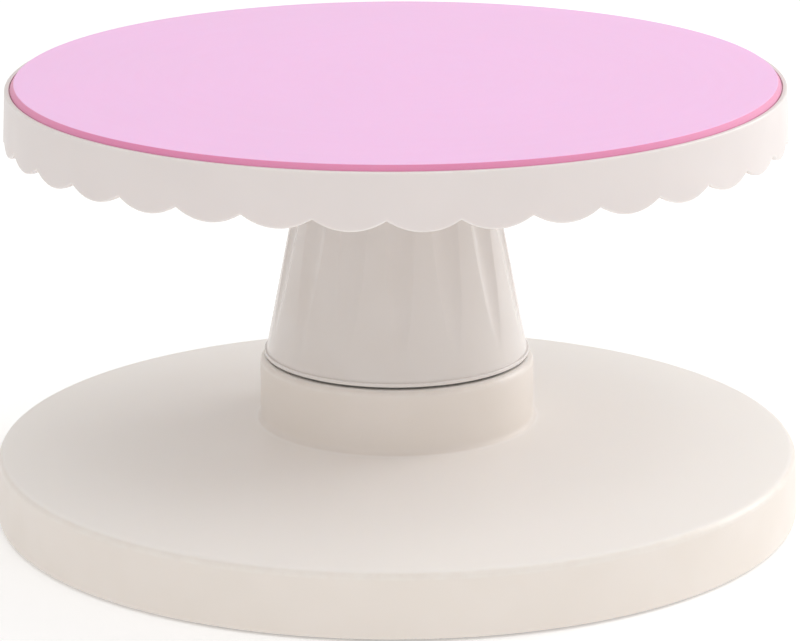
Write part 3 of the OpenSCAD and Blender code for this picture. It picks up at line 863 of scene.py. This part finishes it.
print("built", dust.name)

# %% [markdown]
# Whatever turns gets marks that run round its axis: tool marks on steel, wiping
# marks on the mat. The group squeezes space across the marks and keeps it slow
# along them. Working with the direction from the axis, and not with the angle,
# avoids a seam at half a turn.

# %% Group: marks round the axis
marks, marks_in, marks_out = new_group(
    "Marks round the axis", [("Along Scale", 2.0), ("Across Scale", 900.0)], ["Marks"])
place = put(marks, "ShaderNodeTexCoord").outputs["Object"]
parts = put(marks, "ShaderNodeSeparateXYZ", {0: place})
flat = put(marks, "ShaderNodeCombineXYZ", {"X": parts.outputs["X"], "Y": parts.outputs["Y"]}).outputs[0]
radius = put(marks, "ShaderNodeVectorMath", {0: flat}, operation="LENGTH").outputs["Value"]
direction = put(marks, "ShaderNodeVectorMath", {0: flat}, operation="NORMALIZE").outputs["Vector"]
along = put(marks, "ShaderNodeVectorMath",
            {0: direction, "Scale": marks_in.outputs["Along Scale"]}, operation="SCALE").outputs["Vector"]
across = maths(marks, "MULTIPLY", maths(marks, "ADD", radius, parts.outputs["Z"]),
               marks_in.outputs["Across Scale"])
lift = put(marks, "ShaderNodeCombineXYZ", {"Z": across}).outputs[0]
squeezed = put(marks, "ShaderNodeVectorMath", {0: along, 1: lift}, operation="ADD").outputs["Vector"]
marks.links.new(noise(marks, squeezed, 1.0, 3.0, 0.6), marks_out.inputs["Marks"])
print("built", marks.name)

# %% [markdown]
# ## Moulded finishes
# All the plastics, the silicone and the rubber share one recipe: two close
# tones that drift with the skin's waves, paler worn edges, a breath of dust,
# and gloss that changes with all three. The values tell them apart. A little
# scattering under the surface gives plastic its soft, milky look. A range of
# gloss stays wholly below 0.27 or wholly above it. The denoiser handles smoother
# and duller finishes differently, and a range across that value shows steps.

# %% Recipe for a moulded finish
DUST_DULLS = 0.3
WEAR_POLISHES = 0.08


def use(tree, group, **values):
    """Places a node group in a material, with its inputs set."""
    made = tree.nodes.new("ShaderNodeGroup")
    made.node_tree = group
    for label, value in values.items():
        made.inputs[label.replace("_", " ")].default_value = value
    return made


def blend_colours(tree, share, first, second):
    """The output of a colour Mix node. Colours are sockets or (r, g, b)."""
    colours = {6: first, 7: second}
    full = {k: v if isinstance(v, bpy.types.NodeSocket) else (*v, 1.0) for k, v in colours.items()}
    return put(tree, "ShaderNodeMix", {0: share, **full}, data_type="RGBA").outputs[2]


def new_material(name):
    material = bpy.data.materials.new(name)
    material.use_nodes = True
    return material, material.node_tree, material.node_tree.nodes["Principled BSDF"]


def moulded(name, tones, worn, gloss, grain=1800.0, wave=45.0, wave_share=0.5,
            bump=0.03, wear_amount=0.4, dust_amount=0.2, dust_tone=(0.72, 0.70, 0.67)):
    """A moulded material. Gloss is the roughness where it's smooth and where it's dull."""
    material, tree, surface = new_material(name)
    skin_node = use(tree, skin, Grain_Scale=grain, Wave_Scale=wave, Wave_Share=wave_share)
    wear_mask = use(tree, wear, Amount=wear_amount).outputs["Wear"]
    dust_mask = use(tree, dust, Amount=dust_amount).outputs["Dust"]
    colour = blend_colours(tree, skin_node.outputs["Tone"], *tones)
    colour = blend_colours(tree, wear_mask, colour, worn)
    colour = blend_colours(tree, dust_mask, colour, dust_tone)
    tree.links.new(colour, surface.inputs["Base Color"])
    dull = maths(tree, "MULTIPLY", skin_node.outputs["Tone"], gloss[1] - gloss[0])
    dull = maths(tree, "ADD", dull, gloss[0])
    dull = maths(tree, "ADD", dull, maths(tree, "MULTIPLY", dust_mask, DUST_DULLS))
    dull = maths(tree, "SUBTRACT", dull, maths(tree, "MULTIPLY", wear_mask, WEAR_POLISHES), clamp=True)
    tree.links.new(dull, surface.inputs["Roughness"])
    relief = put(tree, "ShaderNodeBump",
                 {"Height": skin_node.outputs["Height"], "Strength": 0.5, "Distance": bump * MM})
    tree.links.new(relief.outputs["Normal"], surface.inputs["Normal"])
    return material, surface


def scatter(surface, weight, scale, radius=(1.0, 0.85, 0.7)):
    """Lets light spread a little under the surface."""
    surface.inputs["Subsurface Weight"].default_value = weight
    surface.inputs["Subsurface Scale"].default_value = scale * MM
    surface.inputs["Subsurface Radius"].default_value = radius


def painted_light_above(material, surface, tone, share):
    """Paints light into the faces that look up: blends a paler tone into them as painted light from above.
    The share runs from 0 to 1.
    """
    tree = material.node_tree
    facing = put(tree, "ShaderNodeNewGeometry").outputs["Normal"]
    upward = put(tree, "ShaderNodeSeparateXYZ", {0: facing}).outputs["Z"]
    painted_light_share = maths(tree, "MULTIPLY", spread(tree, upward, 0.7, 0.98), share)
    colour = surface.inputs["Base Color"].links[0].from_socket
    tree.links.new(blend_colours(tree, painted_light_share, colour, tone), surface.inputs["Base Color"])


# %% [markdown]
# The base is satin cream, the column is a glossy warm white, the plate is a
# duller one, and the hidden plastics are natural acetal and a plain white. The
# base's upper face has a paler tone painted in, as painted light from above, so
# it is brighter than its side.

# %% Plastic materials
cream_plastic, surface = moulded(
    "satin_cream_plastic", [(0.86, 0.795, 0.74), (0.845, 0.78, 0.72)], (0.92, 0.88, 0.83),
    (0.34, 0.44), grain=1500, bump=0.02, dust_amount=0.12)
scatter(surface, 0.12, 1.2)
# Painted light: the upper faces are blended towards a pale cream, as light from above would brighten them.
painted_light_above(cream_plastic, surface, (0.985, 0.95, 0.915), 0.9)
white_plastic, surface = moulded(
    "glossy_white_plastic", [(0.80, 0.755, 0.725), (0.785, 0.735, 0.70)], (0.88, 0.85, 0.83),
    (0.18, 0.25), grain=900, wave_share=0.8, bump=0.015, dust_amount=0.1)
scatter(surface, 0.12, 1.2)
plate_plastic, surface = moulded(
    "plate_white_plastic", [(0.81, 0.75, 0.735), (0.795, 0.735, 0.72)], (0.92, 0.89, 0.86),
    (0.36, 0.42), grain=900, wave_share=0.8, bump=0.015, dust_amount=0.1)
scatter(surface, 0.15, 1.5)
inner_plastic, surface = moulded(
    "plain_white_plastic", [(0.74, 0.72, 0.69), (0.70, 0.68, 0.65)], (0.8, 0.78, 0.76), (0.4, 0.55))
bush_acetal, surface = moulded(
    "natural_acetal", [(0.82, 0.79, 0.70), (0.78, 0.75, 0.66)], (0.86, 0.84, 0.78), (0.36, 0.42))
scatter(surface, 0.3, 2.0)

# %% [markdown]
# Silicone is softer: no gloss, and a paler pink painted on its upper face as a
# painted sheen. Faint marks left by wiping it round and round vary the painted sheen.

# %% Silicone and rubber materials
mat_silicone, surface = moulded(
    "pink_silicone", [(0.84, 0.30, 0.51), (0.82, 0.28, 0.49)], (0.90, 0.50, 0.68),
    (0.5, 0.6), grain=1400, wave=20, wave_share=0.25, bump=0.02, wear_amount=0.6, dust_amount=0.0)
scatter(surface, 0.3, 2.0, (1.0, 0.5, 0.6))
surface.inputs["Sheen Weight"].default_value = 0.2
surface.inputs["Sheen Roughness"].default_value = 0.45
tree = mat_silicone.node_tree
# Painted sheen: the upper faces are blended towards a pale pink, and the wiping marks vary its share from
# 0.9 to 1.
wiped = use(tree, marks, Along_Scale=3.0, Across_Scale=260.0).outputs["Marks"]
share = maths(tree, "ADD", 0.9, maths(tree, "MULTIPLY", wiped, 0.1))
painted_light_above(mat_silicone, surface, (0.985, 0.565, 0.91), share)
foot_rubber, surface = moulded(
    "grey_foot_rubber", [(0.075, 0.07, 0.068), (0.055, 0.052, 0.05)], (0.14, 0.13, 0.125),
    (0.7, 0.85), grain=2500, bump=0.05, dust_amount=0.6)

# %% [markdown]
# ## Metals
# The spindle and the bearing parts are turned or ground, so their relief runs
# round the axis. Plated and spring parts differ in tint and in how clean they
# are. Metallic stays at 1, and the colour is the tint of the reflection.

# %% Metal materials
def turned_metal(name, tones, gloss, across=1600.0, along=2.0, bump=0.004):
    """A metal whose fine marks run round the axis. Gloss is smooth, then dull."""
    material, tree, surface = new_material(name)
    surface.inputs["Metallic"].default_value = 1.0
    ring_marks = use(tree, marks, Along_Scale=along, Across_Scale=across).outputs["Marks"]
    skin_node = use(tree, skin, Grain_Scale=2500.0, Wave_Scale=120.0, Wave_Share=0.5)
    colour = blend_colours(tree, skin_node.outputs["Tone"], *tones)
    tree.links.new(colour, surface.inputs["Base Color"])
    dull = maths(tree, "MULTIPLY", spread(tree, ring_marks, 0.3, 0.7), gloss[1] - gloss[0])
    tree.links.new(maths(tree, "ADD", dull, gloss[0]), surface.inputs["Roughness"])
    relief = put(tree, "ShaderNodeBump", {"Height": ring_marks, "Strength": 0.6, "Distance": bump * MM})
    tree.links.new(relief.outputs["Normal"], surface.inputs["Normal"])
    return material


turned_steel = turned_metal("turned_steel", [(0.58, 0.58, 0.59), (0.50, 0.50, 0.51)], (0.28, 0.38))
ground_steel = turned_metal("ground_steel", [(0.62, 0.62, 0.63), (0.56, 0.56, 0.57)], (0.12, 0.22), 3000)
spring_steel = turned_metal("oiled_spring_steel", [(0.20, 0.20, 0.22), (0.14, 0.14, 0.15)], (0.3, 0.42))
ball_steel = turned_metal("polished_ball_steel", [(0.70, 0.70, 0.71), (0.66, 0.66, 0.67)], (0.05, 0.1))
cage_brass = turned_metal("stamped_brass", [(0.72, 0.52, 0.22), (0.62, 0.43, 0.17)], (0.28, 0.4))
insert_brass = turned_metal("machined_brass", [(0.76, 0.56, 0.26), (0.68, 0.48, 0.20)], (0.28, 0.36))
plated_screws = turned_metal("zinc_plate", [(0.60, 0.60, 0.57), (0.50, 0.51, 0.50)], (0.28, 0.4), 900)

# %% Give each piece its finish
def finish_with(made, material):
    made.data.materials.clear()
    made.data.materials.append(material)


for made, material in (
    (base, cream_plastic), (column, white_plastic), (plate, plate_plastic),
    (mat, mat_silicone), (feet, foot_rubber), (spindle_screws, plated_screws),
    (foot_plate_screws, plated_screws), (plate_screws, plated_screws),
):
    finish_with(made, material)

finishes = {
    "spindle": turned_steel, "retaining_washer": turned_steel,
    "lower_race": ground_steel, "upper_race": ground_steel,
    "spring_washer": spring_steel, "circlip": spring_steel, "balls": ball_steel,
    "ball_cage": cage_brass, "plate_inserts": insert_brass, "foot_plate": inner_plastic,
    "lower_bush": bush_acetal, "upper_bush": bush_acetal,
}
for name, material in finishes.items():
    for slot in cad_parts[name].material_slots:
        slot.material = material
print("finishes on", len(finishes), "frame nodes")

# %% [markdown]
# ## Studio
# The setting is a plain white floor under a wide white sky, with one large soft
# lamp behind on the right as the key. The sky does most of the filling, and two
# weaker lamps overhead brighten the faces that look up. The floor glows a
# little, which keeps it white in the shade of the base. The camera
# stands well back with a long lens, a little above the plate, so that the rims
# stay nearly flat ovals.

# %% Floor
floor_mesh = bpy.data.meshes.new("floor")
floor_half = 4.0
floor_mesh.from_pydata(
    [(-floor_half, -floor_half, 0), (floor_half, -floor_half, 0),
     (floor_half, floor_half, 0), (-floor_half, floor_half, 0)], [], [(0, 1, 2, 3)])
floor = bpy.data.objects.new("floor", floor_mesh)
bpy.context.scene.collection.objects.link(floor)
floor_paper, tree, surface = new_material("white_paper")
paper_skin = use(tree, skin, Grain_Scale=400.0, Wave_Scale=2.0, Wave_Share=0.7)
tree.links.new(blend_colours(tree, paper_skin.outputs["Tone"], (0.97, 0.97, 0.97), (0.96, 0.96, 0.96)),
               surface.inputs["Base Color"])
surface.inputs["Roughness"].default_value = 0.9
surface.inputs["Specular IOR Level"].default_value = 0.1
surface.inputs["Emission Color"].default_value = (1.0, 1.0, 1.0, 1.0)
surface.inputs["Emission Strength"].default_value = 0.2
finish_with(floor, floor_paper)

# %% Light
scene = bpy.context.scene
scene.view_settings.view_transform = "Standard"
world = bpy.data.worlds.new("white_sky")
scene.world = world
world.use_nodes = True
sky = world.node_tree.nodes["Background"]
sky.inputs["Color"].default_value = (1.0, 0.985, 0.965, 1.0)
sky.inputs["Strength"].default_value = 0.665


def soft_lamp(name, place, aim, size, power, tint):
    """A square area lamp at a place, turned to aim at a point."""
    lamp = bpy.data.lights.new(name, "AREA")
    lamp.size = size
    lamp.energy = power
    lamp.color = tint
    made = bpy.data.objects.new(name, lamp)
    made.location = place
    made.rotation_euler = (Vector(aim) - Vector(place)).to_track_quat("-Z", "Y").to_euler()
    scene.collection.objects.link(made)


middle = (0, 0, 0.08)
soft_lamp("key_right", (1.45, 0.75, 0.8), middle, 1.0, 11.0, (1.0, 0.99, 0.98))
soft_lamp("fill_front", (0.35, -0.95, 1.8), middle, 1.2, 5.0, (1.0, 1.0, 1.0))
soft_lamp("fill_above", (0, 0.3, 2.2), middle, 2.0, 5.0, (1.0, 1.0, 1.0))

# %% Camera
aim = Vector((0, 0, 0.061))
distance = 1.393
elevation = math.radians(16.24)
roll = math.radians(-0.22)
camera_data = bpy.data.cameras.new("camera")
camera_data.lens = 172.3
camera_data.shift_x = 0.0041
camera_data.shift_y = 0.0281
camera = bpy.data.objects.new("camera", camera_data)
camera.location = aim + distance * Vector((0, -math.cos(elevation), math.sin(elevation)))
tilt = Matrix.Rotation(math.pi / 2 - elevation, 4, "X") @ Matrix.Rotation(roll, 4, "Z")
camera.rotation_euler = tilt.to_euler()
scene.collection.objects.link(camera)
scene.camera = camera
